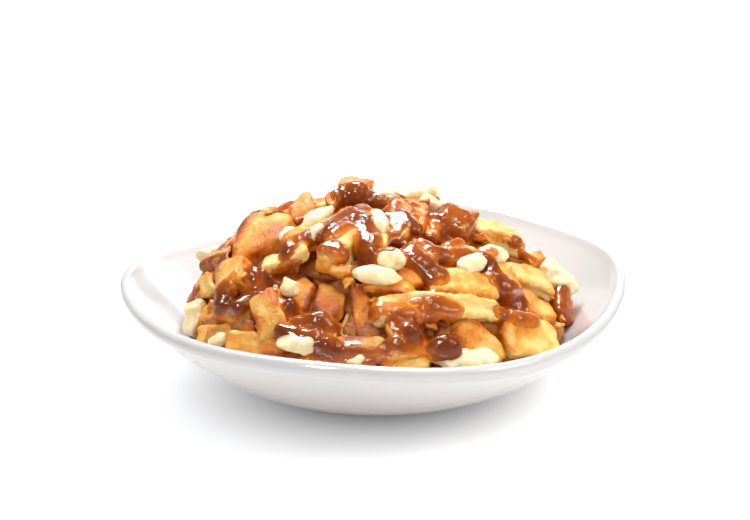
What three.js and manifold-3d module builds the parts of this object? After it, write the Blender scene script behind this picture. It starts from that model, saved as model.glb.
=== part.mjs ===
// A helping of poutine: a white coupe bowl heaped with chips, brown gravy and cheese curds.
// Millimetres, +Z up, origin at the middle of the bowl's foot, -Y towards the side that shows best.
import * as THREE from 'three';
import { mergeVertices } from 'three/addons/utils/BufferGeometryUtils.js';
import Module from 'manifold-3d';

const wasm = await Module();
wasm.setup();

// Bowl: a shallow coupe bowl, not quite round, with a rim that rises and falls a little.
// Each wave has its height, its number of crests round the rim and the angle of one crest in degrees.
const RIM_RADIUS = 119.4;
const RIM_HEIGHT = 47.8;
const PLAN_WAVES = [[1.4, 2, 112], [2.2, 3, 55], [1.2, 4, 45]];
const HEIGHT_WAVES = [[1.8, 2, 32], [2.3, 3, 85], [1.9, 4, -5]];
const FOOT_RADIUS = 44;
const FOOT_HEIGHT = 2.5;
const WALL = 5.4;
const FLOOR = 6;
const FLARE = 1.6;
const BOWL_SIDES = 44;

// Heap: the chips lie on an outer skin, and a smaller core fills what is under them.
const SKIN_BASE = 24;
const SKIN_RISE = 64;
const SKIN_LEAN = 0.12;
const SKIN_REACH = 99;
const CORE_RISE = 57.5;
const CORE_REACH = 93;
const DOME_POWER = 3;
const DOME_ROUND = 0.9;
const FAR_FALL = 0.36;
const FALL_FROM = 10;
const FALL_SOFTENING = 12;
const CORE_SIDES = 24;
const GAP = 0.3;
const SMALL_CURD = 12;

const BOWL_COLOUR = 0xf1eeea;
const CHIP_COLOUR = 0xd99a4a;
const CURD_COLOUR = 0xf3e8c8;

function radians(degrees) {
  return degrees * Math.PI / 180;
}

// A small rule for scattered values: each call gives the next value from 0 to 1.
function drawsFrom(seed) {
  let state = seed;
  return () => {
    state = (Math.imul(state, 1664525) + 1013904223) >>> 0;
    return state / 4294967296;
  };
}

function dome(x, y, rise, reach) {
  const share = Math.min(Math.hypot(x, y) / reach, 1);
  const behind = y - FALL_FROM;
  const fall = FAR_FALL * (behind + Math.hypot(behind, FALL_SOFTENING)) / 2;
  return SKIN_BASE + (rise - SKIN_LEAN * x) * (1 - share ** DOME_POWER) ** DOME_ROUND - fall;
}

function onSkin(x, y, lift) {
  return new THREE.Vector3(x, y, dome(x, y, SKIN_RISE, SKIN_REACH) + lift);
}

function skinNormal(x, y) {
  const step = 0.5;
  const slopeX = (onSkin(x + step, y, 0).z - onSkin(x - step, y, 0).z) / (2 * step);
  const slopeY = (onSkin(x, y + step, 0).z - onSkin(x, y - step, 0).z) / (2 * step);
  return new THREE.Vector3(-slopeX, -slopeY, 1).normalize();
}

function sharedVertices(geometry) {
  geometry.deleteAttribute('normal');
  geometry.deleteAttribute('uv');
  return mergeVertices(geometry, 1e-4);
}

function solidOf(geometry) {
  return new wasm.Manifold(new wasm.Mesh({
    numProp: 3,
    vertProperties: new Float32Array(geometry.attributes.position.array),
    triVerts: new Uint32Array(geometry.index.array),
  }));
}

function geometryOf(solid) {
  const mesh = solid.getMesh();
  const geometry = new THREE.BufferGeometry();
  geometry.setAttribute('position', new THREE.BufferAttribute(mesh.vertProperties, 3));
  geometry.setIndex(new THREE.BufferAttribute(mesh.triVerts, 1));
  geometry.computeVertexNormals();
  return geometry;
}

// Rim radius and height at an angle counter-clockwise from +X.
function rimAt(angle) {
  const summed = (waves) => waves.reduce(
    (sum, [size, crests, crestAt]) => sum + size * Math.cos(crests * (angle - radians(crestAt))),
    0,
  );
  return { radius: RIM_RADIUS + summed(PLAN_WAVES), height: RIM_HEIGHT + summed(HEIGHT_WAVES) };
}

function outerWall(rim) {
  const foot = FOOT_RADIUS + 1.5;
  const spread = rim.radius - 0.3 - foot;
  const climb = rim.height - 1.2 - FOOT_HEIGHT;
  return [0, 0.3, 0.65, 1].map((share) => [foot + spread * share, FOOT_HEIGHT + climb * share ** FLARE]);
}

function innerWall(rim) {
  const spread = rim.radius - WALL - FOOT_RADIUS;
  const climb = rim.height + 0.6 - FLOOR;
  const shares = [1, 0.83, 0.62, 0.35, 0];
  return shares.map((share) => [FOOT_RADIUS + spread * share, FLOOR + climb * share ** FLARE]);
}

// A closed body from a section that changes with the angle; the section starts and ends on the upright axis.
function turnedBody(sectionAt, sides) {
  const rings = [];
  for (let side = 0; side < sides; side += 1) {
    rings.push(sectionAt(2 * Math.PI * side / sides));
  }
  const stations = rings[0].length;
  const profile = rings[0].map(([radius, height]) => new THREE.Vector2(radius, height));
  const lathe = new THREE.LatheGeometry(profile, sides);
  const position = lathe.attributes.position;
  for (let side = 0; side <= sides; side += 1) {
    const angle = 2 * Math.PI * (side % sides) / sides;
    for (let station = 0; station < stations; station += 1) {
      const [radius, height] = rings[side % sides][station];
      position.setXYZ(side * stations + station, radius * Math.cos(angle), radius * Math.sin(angle), height);
    }
  }
  return sharedVertices(lathe);
}

function facingOut(geometry) {
  const solid = solidOf(geometry);
  if (solid.volume() > 0) {
    return solid;
  }
  const index = geometry.index.array;
  for (let corner = 0; corner < index.length; corner += 3) {
    [index[corner], index[corner + 1]] = [index[corner + 1], index[corner]];
  }
  return solidOf(geometry);
}

function bowlSection(angle) {
  const rim = rimAt(angle);
  const lip = [
    [rim.radius, rim.height - 0.2],
    [rim.radius - 0.9, rim.height + 1.6],
    [rim.radius - 2.8, rim.height + 2.3],
    [rim.radius - 4.6, rim.height + 1.8],
  ];
  return [[0, 0], [FOOT_RADIUS, 0], ...outerWall(rim), ...lip, ...innerWall(rim), [0, FLOOR]];
}

// The room inside the bowl, clear of its wall and open upward, that the food may fill.
function cavitySection(angle) {
  const wall = innerWall(rimAt(angle)).map(([radius, height]) => [radius - 0.25, height + GAP]);
  const ceiling = 140;
  return [[0, ceiling], [wall[0][0], ceiling], ...wall, [0, FLOOR + GAP]];
}

function coreSection(angle) {
  const points = [[0, 1], [CORE_REACH, 1]];
  for (const share of [1, 0.96, 0.86, 0.7, 0.45, 0]) {
    const radius = CORE_REACH * share;
    points.push([radius, dome(radius * Math.cos(angle), radius * Math.sin(angle), CORE_RISE, CORE_REACH)]);
  }
  return points;
}

// A bar cut from a potato: softened edges, narrower ends, a slight bow and no two alike.
function potatoBar({ from, to, width, thickness, bow, seed }) {
  const length = from.distanceTo(to);
  const draw = drawsFrom(seed);
  const segments = length > 40 ? 4 : 2;
  const bar = sharedVertices(new THREE.BoxGeometry(1, 1, 1, segments, 2, 2));
  const position = bar.attributes.position;
  const axis = to.clone().sub(from).normalize();
  const middle = from.clone().add(to).multiplyScalar(0.5);
  const side = axis.clone().cross(skinNormal(middle.x, middle.y)).normalize();
  const up = side.clone().cross(axis);
  const point = new THREE.Vector3();
  for (let vertex = 0; vertex < position.count; vertex += 1) {
    const along = position.getX(vertex) + 0.5;
    const across = position.getY(vertex);
    const over = position.getZ(vertex);
    const corner = Math.abs(across) > 0.4 && Math.abs(over) > 0.4 ? 0.86 : 1;
    const end = along < 0.01 || along > 0.99 ? 0.84 : 1;
    const uneven = corner * end * (0.95 + 0.1 * draw());
    point.copy(from).lerp(to, along);
    point.addScaledVector(side, across * width * uneven);
    point.addScaledVector(up, over * thickness * uneven + bow * 4 * along * (1 - along));
    position.setXYZ(vertex, point.x, point.y, point.z);
  }
  return facingOut(bar);
}

// Gravy that has run over the heap: a flat tongue through points on the skin, thicker at its lower end.
function gravyTongue({ points, width, thickness }) {
  const path = new THREE.CatmullRomCurve3(points.map(([x, y, lift]) => onSkin(x, y, lift)));
  const tongue = sharedVertices(new THREE.BoxGeometry(1, 1, 1, 4, 2, 1));
  const position = tongue.attributes.position;
  for (let vertex = 0; vertex < position.count; vertex += 1) {
    const along = position.getX(vertex) + 0.5;
    const across = position.getY(vertex);
    const over = position.getZ(vertex);
    const centre = path.getPoint(along);
    const normal = skinNormal(centre.x, centre.y);
    const side = path.getTangent(along).cross(normal).normalize();
    const ends = Math.sqrt(Math.max(0.12, 1 - (2 * along - 1) ** 4));
    const edge = Math.abs(across) > 0.4 ? 0.3 : 1;
    centre.addScaledVector(side, across * width * ends);
    centre.addScaledVector(normal, over * thickness * edge * (0.7 + 0.6 * along));
    position.setXYZ(vertex, centre.x, centre.y, centre.z);
  }
  return facingOut(tongue);
}

// A cheese curd: a squeaky rounded lump, bent a little, lying on the skin along a heading.
function curdLump({ at, length, width, height, heading, pitch, seed, grown }) {
  const draw = drawsFrom(seed);
  const Ball = length > SMALL_CURD ? THREE.IcosahedronGeometry : THREE.OctahedronGeometry;
  const lump = sharedVertices(new Ball(0.5, 1));
  const position = lump.attributes.position;
  const turn = new THREE.Matrix4().makeRotationZ(radians(heading));
  turn.multiply(new THREE.Matrix4().makeRotationY(radians(-pitch)));
  const bend = 0.5 * (draw() - 0.5);
  const waist = 0.3 * draw();
  const point = new THREE.Vector3();
  for (let vertex = 0; vertex < position.count; vertex += 1) {
    point.fromBufferAttribute(position, vertex);
    const along = 2 * point.x;
    const full = (1 - waist * (1 - along * along) * 0.6) * (0.94 + 0.14 * draw());
    point.set(
      point.x * (length + 2 * grown),
      (point.y * full + bend * (along * along - 0.4) * 0.5) * (width + 2 * grown),
      point.z * full * (height + 2 * grown),
    );
    point.applyMatrix4(turn).add(at);
    position.setXYZ(vertex, point.x, point.y, point.z);
  }
  return facingOut(lump);
}

// Chips that show in front, each from one end to the other, with its width, its thickness and its bow.
const CHIPS_IN_FRONT = [
  // Left shoulder: one wide wedge standing up, and pieces leaning on it.
  [[-58, -29, 71], [-50, -5, 83], 21, 13, 1],
  [[-47, -36, 73], [-43, -13, 82], 11, 12, 0],
  [[-80, 2, 58], [-63, -12, 67], 11, 10, 0],
  [[-78, -19, 61], [-73, -28, 54], 9, 8, 0],
  [[-71, -33, 59], [-57, -41, 69], 18, 12, 1],
  [[-46, -62, 62], [-48, -73, 50], 19, 9, 1],
  // Low on the left, along the bowl's wall.
  [[-80, -30, 44], [-57, -54, 54], 11, 11, 0],
  [[-80, -40, 39], [-52, -63, 49], 9, 9, 0],
  [[-66, -59, 43], [-39, -77, 46], 10, 10, 1],
  // Around the dark hollow in the middle.
  [[-34, -68, 57], [-30, -54, 68], 10, 9, 0],
  [[-23, -72, 56], [-19, -60, 67], 14, 9, 0],
  [[-6, -82, 49], [-9, -61, 69], 9, 9, 0],
  [[-16, -76, 50], [-10, -71, 57], 10, 8, 0],
  [[-6, -63, 69], [18, -65, 63], 10, 9, 1],
  [[-21, -60, 77], [-11, -34, 83], 14, 14, 0],
  // The front row, soaked with gravy.
  [[-40, -75, 50], [-18, -78, 54], 16, 10, 1],
  [[5, -77, 57], [14, -84, 47], 13, 10, 0],
  [[3, -85, 47], [18, -82, 49], 15, 9, 1],
  [[1, -89, 42], [22, -86, 41], 8, 7, 0],
  [[-33, -81, 43], [-1, -86, 42], 10, 9, 1],
  [[-21, -81, 48], [3, -84, 47], 10, 9, 0],
  // The long chips that cross the right half.
  [[-3, -76, 61], [53, -60, 53], 12, 11, 2],
  [[22, -61, 67], [52, -50, 59], 14, 10, 1],
  [[57, -33, 62], [82, -14, 49], 13, 9, 1],
  [[45, -4, 73], [69, 0, 61], 11, 11, 1],
  [[70, -6, 57], [79, 3, 56], 7, 7, 0],
  [[50, -33, 67], [60, -47, 55], 12, 10, 0],
  [[32, -70, 54], [48, -76, 38], 13, 10, 1],
  [[54, -65, 47], [76, -53, 35], 17, 12, 1],
  [[64, -42, 51], [79, -34, 40], 14, 9, 0],
  [[87, -9, 43], [84, -26, 34], 12, 9, 0],
  // The right shoulder.
  [[33, -20, 76], [41, -2, 80], 17, 13, 1],
  [[24, -31, 78], [28, -14, 81], 7, 7, 0],
  [[28, -45, 72], [41, -32, 72], 13, 11, 0],
  [[15, -56, 71], [23, -40, 76], 15, 11, 1],
  [[10, -55, 72], [19, -60, 66], 10, 7, 0],
  // The top, on two chips that lie across the crest.
  [[-38, -3, 82], [-8, 5, 84], 14, 12, 1],
  [[-6, 6, 84], [30, 2, 81], 14, 12, 1],
  [[-12, -1, 90], [-4, 13, 91], 14, 12, 1],
  [[-34, -14, 83], [-31, -5, 93], 11, 7, 0],
  [[-20, -8, 88], [-19, -1, 92], 6, 5, 0],
  [[-41, -40, 78], [-26, -37, 83], 11, 11, 1],
  [[-24, -41, 80], [-1, -14, 84], 13, 12, 1],
  [[0, -50, 77], [-3, -24, 84], 12, 11, 0],
  [[8, -39, 79], [12, -9, 87], 12, 11, 0],
  [[17, -32, 79], [19, -6, 86], 10, 10, 1],
  [[31, 8, 84], [17, 10, 87], 9, 8, 0],
  // A thin bent strip, in two legs.
  [[-49, -47, 73], [-35, -53, 78], 7, 6, 0],
  [[-36, -53, 77], [-31, -48, 81], 7, 6, 0],
];

// Chips over the far side, in rings round the heap, each laid on the skin along a scattered heading.
const FAR_RINGS = [
  { radius: 34, first: 50, last: 140, count: 3 },
  { radius: 54, first: 10, last: 170, count: 4 },
  { radius: 71, first: 6, last: 172, count: 5 },
  { radius: 84, first: 10, last: 168, count: 6 },
];
const FAR_SEED = 41;

function farChips() {
  const draw = drawsFrom(FAR_SEED);
  const chips = [];
  for (const ring of FAR_RINGS) {
    for (let place = 0; place < ring.count; place += 1) {
      const share = (place + 0.25 + 0.5 * draw()) / ring.count;
      const angle = radians(ring.first + (ring.last - ring.first) * share);
      const heading = angle + radians(90 + 110 * (draw() - 0.5));
      const half = 11 + 13 * draw() * draw();
      const width = 9 + 6 * draw();
      const thickness = 8 + 3 * draw();
      const lift = -6 + 3 * draw();
      const tilt = 4 * (draw() - 0.5);
      const x = ring.radius * Math.cos(angle);
      const y = ring.radius * Math.sin(angle);
      const stepX = half * Math.cos(heading);
      const stepY = half * Math.sin(heading);
      chips.push({
        from: onSkin(x - stepX, y - stepY, lift - tilt),
        to: onSkin(x + stepX, y + stepY, lift + tilt),
        width,
        thickness,
        bow: 1.5,
      });
    }
  }
  return chips;
}

// Gravy: each tongue's points are given in plan, with their lift above the skin.
const GRAVY = [
  { points: [[-13, -10, 1], [-15, -26, 2], [-21, -42, 2]], width: 21, thickness: 9 },
  { points: [[-42, -54, 1], [-56, -47, 0], [-72, -36, -1]], width: 13, thickness: 9 },
  { points: [[49, -32, 3], [56, -39, 4], [64, -49, 2]], width: 13, thickness: 8 },
  { points: [[6, -74, 4], [17, -70, 4], [28, -68, 4]], width: 14, thickness: 9 },
  { points: [[24, -66, 3], [27, -74, 2], [30, -81, 3]], width: 15, thickness: 11 },
  { points: [[14, -34, 1], [24, -45, 1], [40, -38, 1]], width: 15, thickness: 9 },
  { points: [[-44, -76, -1], [-22, -84, -1], [0, -88, 0]], width: 11, thickness: 8 },
  { points: [[-10, 20, 0], [-24, 40, 0], [-34, 68, 0]], width: 19, thickness: 10 },
  { points: [[24, 22, 0], [36, 40, 0], [34, 66, 0]], width: 17, thickness: 10 },
];

// Curds in front: where each lies, its length, width and height, the heading of its length and its pitch.
const CURDS = [
  [[-80, 12, 61], 11, 8, 7, 20, 10],
  [[-83, -30, 44], 16, 9, 8, 80, 65],
  [[-71, -56, 43], 9, 7, 6, -30, 35],
  [[-37, -80, 51], 18, 9, 8, -12, -10],
  [[-10, -89, 44], 9, 6, 6, 5, 8],
  [[-38, -61, 69], 9, 8, 7, -80, -50],
  [[-26, -27, 89], 20, 10, 8, 35, 20],
  [[-27, -41, 86], 11, 7, 6, 30, 30],
  [[-39, -35, 84], 9, 8, 7, 40, 35],
  [[2, -32, 88], 16, 8, 6, 115, 20],
  [[6, -57, 78], 13, 11, 10, 20, 0],
  [[0, -65, 74], 20, 9, 8, -4, -6],
  [[5, 3, 90], 10, 6, 5, 10, -15],
  [[18, 4, 90], 13, 9, 5, 20, 5],
  [[27, 9, 89], 9, 6, 5, 40, 45],
  [[27, -4, 86], 12, 7, 7, -20, -25],
  [[42, -47, 71], 15, 9, 9, 30, 10],
  [[51, -33, 70], 17, 11, 9, 20, 0],
  [[84, -4, 47], 23, 16, 10, -35, -25],
  [[36, -81, 44], 29, 13, 7, 8, -4],
];

// Curds on the far side, in plan, with length, width, height and heading.
const FAR_CURDS = [
  [-44, 38, 17, 10, 9, 60],
  [-14, 46, 14, 11, 9, 10],
  [10, 66, 19, 10, 8, 160],
  [-56, 58, 15, 9, 8, 130],
  [50, 52, 18, 11, 9, 40],
  [68, 30, 11, 9, 8, 100],
  [22, 40, 12, 9, 7, 80],
  [-18, 80, 16, 9, 8, 5],
];

function curdSizes() {
  const rows = CURDS.map(([at, length, width, height, heading, pitch]) => (
    { at: new THREE.Vector3(...at), length, width, height, heading, pitch }
  ));
  for (const [x, y, length, width, height, heading] of FAR_CURDS) {
    rows.push({ at: onSkin(x, y, 1), length, width, height, heading, pitch: 0 });
  }
  return rows;
}

function namedMesh(name, solid, colour, roughness) {
  const material = new THREE.MeshStandardMaterial({ color: colour, roughness, metalness: 0 });
  const mesh = new THREE.Mesh(geometryOf(solid), material);
  mesh.name = name;
  return mesh;
}

// Curds press against each other, so each gives way to those laid before it.
const cavity = facingOut(turnedBody(cavitySection, BOWL_SIDES));
const curds = [];
const curdRooms = [];
curdSizes().forEach((sizes, row) => {
  let curd = curdLump({ ...sizes, seed: 900 + row, grown: 0 }).intersect(cavity);
  for (const room of curdRooms) {
    curd = curd.subtract(room);
  }
  curds.push(curd);
  curdRooms.push(curdLump({ ...sizes, seed: 900 + row, grown: GAP + 0.05 }));
});

// The heap is the core with the chips and the thick gravy grown onto it, fitted to bowl and curds.
let heap = facingOut(turnedBody(coreSection, CORE_SIDES));
const chips = CHIPS_IN_FRONT.map(([from, to, width, thickness, bow]) => (
  { from: new THREE.Vector3(...from), to: new THREE.Vector3(...to), width, thickness, bow }
));
chips.push(...farChips());
chips.forEach((chip, row) => {
  heap = heap.add(potatoBar({ ...chip, seed: 300 + row }));
});
for (const tongue of GRAVY) {
  heap = heap.add(gravyTongue(tongue));
}
heap = heap.intersect(cavity);
for (const room of curdRooms) {
  heap = heap.subtract(room);
}
const heapParts = heap.decompose();
heapParts.sort((one, other) => other.volume() - one.volume());

const poutine = new THREE.Group();
poutine.add(namedMesh('bowl', facingOut(turnedBody(bowlSection, BOWL_SIDES)), BOWL_COLOUR, 0.2));
poutine.add(namedMesh('heap', heapParts[0], CHIP_COLOUR, 0.5));
curds.forEach((curd, row) => {
  poutine.add(namedMesh(`curd_${String(row + 1).padStart(2, '0')}`, curd, CURD_COLOUR, 0.6));
});

export default poutine;
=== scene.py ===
import math

import bmesh
import bpy
import numpy as np
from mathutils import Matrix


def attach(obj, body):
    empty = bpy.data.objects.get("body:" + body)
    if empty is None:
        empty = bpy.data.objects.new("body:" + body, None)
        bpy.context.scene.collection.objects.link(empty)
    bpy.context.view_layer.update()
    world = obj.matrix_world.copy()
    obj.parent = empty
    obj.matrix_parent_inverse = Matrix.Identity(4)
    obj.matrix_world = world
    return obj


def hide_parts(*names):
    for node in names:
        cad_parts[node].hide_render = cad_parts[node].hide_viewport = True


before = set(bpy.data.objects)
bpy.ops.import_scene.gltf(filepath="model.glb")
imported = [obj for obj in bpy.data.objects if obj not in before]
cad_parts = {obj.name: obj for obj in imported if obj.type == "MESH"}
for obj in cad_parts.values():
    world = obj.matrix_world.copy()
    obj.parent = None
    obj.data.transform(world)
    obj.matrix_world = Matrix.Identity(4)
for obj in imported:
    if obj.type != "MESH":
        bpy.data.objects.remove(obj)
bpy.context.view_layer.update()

# The view: the photograph looks down on the bowl by about 19 degrees from 0.85 m away through a long
# lens, and its right side stands two degrees higher, so the camera is rolled by that much.
camera = bpy.data.objects.new("camera", bpy.data.cameras.new("camera"))
camera.data.lens = 85.0
camera.data.sensor_width = 36.0
camera.data.clip_end = 20.0
camera.location = (-0.0004, -0.7903, 0.3276)
camera_tilt = math.radians(71.23)
camera_roll = math.radians(-2.0)
camera.rotation_mode = "XYZ"
camera.rotation_euler = (camera_tilt, 0.0, 0.0)
bpy.context.scene.collection.objects.link(camera)
bpy.context.view_layer.update()
camera.rotation_euler.rotate_axis("Z", camera_roll)
bpy.context.scene.camera = camera
bpy.context.scene.view_settings.view_transform = "Standard"


# The table and the light: a plain white table top under soft lamps in an even warm surround. The table
# glows a little in a ring round the bowl, in place of the light that white walls give back to it, so the
# bowl's shadow stays close underneath.
def node_tree(material):
    """A new material's node tree, emptied."""
    material.use_nodes = True
    material.node_tree.nodes.clear()
    return material.node_tree


def add_node(tree, kind, sockets=(), **settings):
    """A node with its settings, and with a value or another node's output on each socket that is named."""
    node = tree.nodes.new(kind)
    for name, value in settings.items():
        setattr(node, name, value)
    for name, value in dict(sockets).items():
        socket = node.inputs[name]
        if isinstance(value, bpy.types.NodeSocket):
            tree.links.new(value, socket)
        else:
            socket.default_value = value
    return node


def object_place(tree):
    return add_node(tree, "ShaderNodeTexCoord").outputs["Object"]


def stretched(tree, value, span, new_span):
    """A value carried over from one span to another, and held inside it."""
    return add_node(tree, "ShaderNodeMapRange", {
        "Value": value,
        "From Min": span[0],
        "From Max": span[1],
        "To Min": new_span[0],
        "To Max": new_span[1],
    }).outputs["Result"]


def colour_ramp(tree, value, stops):
    """The colour for a value, between stops that each pair a value with a colour."""
    ramp = add_node(tree, "ShaderNodeValToRGB", {"Fac": value})
    for stop, (at, colour) in zip(ramp.color_ramp.elements, (stops[0], stops[-1])):
        stop.position = at
        stop.color = (*colour, 1.0)
    for at, colour in stops[1:-1]:
        ramp.color_ramp.elements.new(at).color = (*colour, 1.0)
    return ramp.outputs["Color"]


def finish_material(tree, sockets):
    shader = add_node(tree, "ShaderNodeBsdfPrincipled", sockets)
    add_node(tree, "ShaderNodeOutputMaterial", {"Surface": shader.outputs["BSDF"]})


# How far from the middle the table's glow is told, in metres, and its strength at shares of that reach.
GLOW_REACH = 0.4
GLOW_STEPS = ((0.1, 0.03), (0.175, 0.28), (0.25, 0.53), (0.31, 0.48), (0.375, 0.27), (0.5, 0.1), (1.0, 0.6))
table_material = bpy.data.materials.new("white_table")
tree = node_tree(table_material)
from_middle = add_node(tree, "ShaderNodeVectorMath", {0: object_place(tree)}, operation="LENGTH")
glow_share = stretched(tree, from_middle.outputs["Value"], (0.0, GLOW_REACH), (0.0, 1.0))
glow_stops = [(at, (strength,) * 3) for at, strength in GLOW_STEPS]
finish_material(tree, {
    "Base Color": (0.96, 0.96, 0.96, 1.0),
    "Roughness": 0.6,
    "Specular IOR Level": 0.2,
    "Emission Color": (0.92, 1.0, 1.08, 1.0),
    "Emission Strength": colour_ramp(tree, glow_share, glow_stops),
})
TABLE_CORNERS = ((-6, -3, 0), (6, -3, 0), (6, 9, 0), (-6, 9, 0))
table_mesh = bpy.data.meshes.new("table_top")
table_mesh.from_pydata(TABLE_CORNERS, [], [(0, 1, 2, 3)])
table_mesh.materials.append(table_material)
table = bpy.data.objects.new("table_top", table_mesh)
bpy.context.scene.collection.objects.link(table)

surround = bpy.data.worlds.new("white_surround")
surround.use_nodes = True
surround.node_tree.nodes["Background"].inputs["Color"].default_value = (1.0, 0.9, 0.8, 1.0)
surround.node_tree.nodes["Background"].inputs["Strength"].default_value = 0.3
bpy.context.scene.world = surround

# Each lamp's name, place, the height over the middle of the table at which it aims, width and length, power
# in watts and tint, and what it leaves out: the two fills give no gloss, and gloss_card and gloss_strip
# give nothing else.
LAMPS = (
    ("lamp_above", (-0.08, 0.5, 0.94), 0.05, (0.42, 0.3), 8.8, (0.97, 0.99, 1.0), None),
    ("strip_overhead", (0.1, -0.14, 1.05), 0.05, (0.5, 0.1), 2.4, (1.0, 1.0, 1.0), None),
    ("soft_fill", (0.0, 0.5, 1.75), 0.0, (2.4, 2.0), 16.0, (1.0, 0.97, 0.94), "visible_glossy"),
    ("front_fill", (0.3, -1.1, 1.1), 0.05, (1.6, 0.8), 3.6, (1.0, 0.97, 0.93), "visible_glossy"),
    ("gloss_card", (-0.12, 0.42, 0.95), 0.07, (0.5, 0.3), 16.0, (1.0, 1.0, 1.0), "visible_diffuse"),
    ("gloss_strip", (-0.4, -0.7, 0.8), 0.06, (0.12, 0.34), 5.0, (1.0, 1.0, 1.0), "visible_diffuse"),
    ("window_behind", (0.45, 1.5, 0.55), 0.06, (0.8, 0.55), 4.5, (0.97, 0.99, 1.0), None),
    ("lamp_in_front", (0.9, -0.55, 0.95), 0.05, (0.5, 0.5), 5.4, (1.0, 0.96, 0.88), None),
)
for name, place, aim_height, size, power, tint, left_out in LAMPS:
    lamp = bpy.data.objects.new(name, bpy.data.lights.new(name, "AREA"))
    lamp.data.shape = "RECTANGLE"
    lamp.data.size, lamp.data.size_y = size
    lamp.data.energy = power
    lamp.data.color = tint
    lamp.location = place
    toward = np.array((0, 0, aim_height)) - np.array(place)
    lamp.rotation_mode = "XYZ"
    level = math.hypot(toward[0], toward[1])
    lamp.rotation_euler = (math.atan2(level, -toward[2]), 0.0, math.atan2(-toward[0], toward[1]))
    lamp.visible_camera = False
    if left_out:
        setattr(lamp, left_out, False)
    bpy.context.scene.collection.objects.link(lamp)


# The bowl: a white glazed porcelain coupe bowl, jiggered from one sheet of clay, so its rim wanders a
# little from a circle. Its glaze colour carries painted light and shade: whiter and cooler inside as painted
# light, greyer and warmer outside as painted shade. The foot's under side is wiped free of glaze before the
# firing. Its sizes are in millimetres.
MM = 0.001
RIM_RADIUS = 119.4
RIM_HEIGHT = 47.8
# Waves of the rim's plan and of its height: the size of each, how many go round, and where one crests.
PLAN_WAVES = ((1.8, 2, 0), (1.4, 2, 112), (2.2, 3, 55), (1.2, 4, 45))
HEIGHT_WAVES = ((1.8, 2, 32), (2.3, 3, 85), (1.9, 4, -5))
# Where the rim lifts besides: by how much, at how many degrees, and over how many.
RIM_LIFTS = ((3.6, -110, 40), (3.0, 178, 30), (2.4, 2, 28))
FOOT_RADIUS = 44.0
FOOT_HEIGHT = 2.5
WALL = 5.4
FLOOR = 6.0
FLARE = 1.6
INNER_TOP = 0.6


def waves_at(waves, angle):
    return sum(size * np.cos(crests * (angle - math.radians(at))) for size, crests, at in waves)


def rim_radius(angle):
    return RIM_RADIUS + waves_at(PLAN_WAVES, angle)


def rim_height(angle):
    """The rim's height: it dips at the front, less so left of the middle, and lifts at both sides."""
    height = RIM_HEIGHT + waves_at(HEIGHT_WAVES, angle)
    for lift, at, spread in RIM_LIFTS:
        past = (angle - math.radians(at) + math.pi) % (2 * math.pi) - math.pi
        height = height + lift * np.exp(-(past / math.radians(spread)) ** 2)
    return height


def bowl_inside(x, y):
    """Height of the bowl's inner face under a point in plan."""
    angle = np.arctan2(y, x)
    run = (np.hypot(x, y) - FOOT_RADIUS) / (rim_radius(angle) - WALL - FOOT_RADIUS)
    return FLOOR + (rim_height(angle) + INNER_TOP - FLOOR) * np.clip(run, 0, 1) ** FLARE


def lift_off_bowl(points, gap):
    """Raises the points that are lower than a gap above the bowl's inner face."""
    points[:, 2] = np.maximum(points[:, 2], bowl_inside(points[:, 0], points[:, 1]) + gap)


def add_piece(name, points, faces, materials):
    """A mesh object from points in millimetres."""
    mesh = bpy.data.meshes.new(name)
    mesh.from_pydata((np.asarray(points) * MM).tolist(), [], faces)
    mesh.polygons.foreach_set("use_smooth", [True] * len(mesh.polygons))
    for material in materials:
        mesh.materials.append(material)
    mesh.update()
    piece = bpy.data.objects.new(name, mesh)
    bpy.context.scene.collection.objects.link(piece)
    return piece


def set_values(piece, name, values):
    """Gives each point of a piece a value, which its material reads by name."""
    piece.data.attributes.new(name, "FLOAT", "POINT").data.foreach_set("value", values)


def ring_faces(rings, around):
    """Four-sided faces between rings of points that lie one after another."""
    ring, spot = np.meshgrid(np.arange(rings - 1), np.arange(around), indexing="ij")
    here, there = ring * around, (ring + 1) * around
    after = (spot + 1) % around
    corners = [here + spot, here + after, there + after, there + spot]
    return np.stack(corners, axis=-1).reshape(-1, 4).tolist()


# The foot's section, as runs out from the foot's radius and heights: the hollow under the bowl, the ring
# that it stands on and the turn into the outer face.
FOOT_SECTION = (
    (-7, 0.9), (-6.2, 0.15), (-5, 0), (-2.2, 0), (-1.2, 0.12),
    (-0.5, 0.5), (-0.1, 1.2), (0.4, 1.9), (1, 2.3),
)
OUTER_START = 1.5
OUTER_END_IN = 2.2
OUTER_END_DOWN = 5.2
OUTER_STATIONS = 30
LIP_WIDTH = 3.2
LIP_HEIGHT = 3.7
LIP_DROP = 1.4
LIP_TURN = (-55, 130)
LIP_STATIONS = 18
INNER_SHARE = 0.985
INNER_STATIONS = 34
WELL_DISH = 0.5
WELL_SHARES = (0.85, 0.6, 0.3, 0.1)


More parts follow.
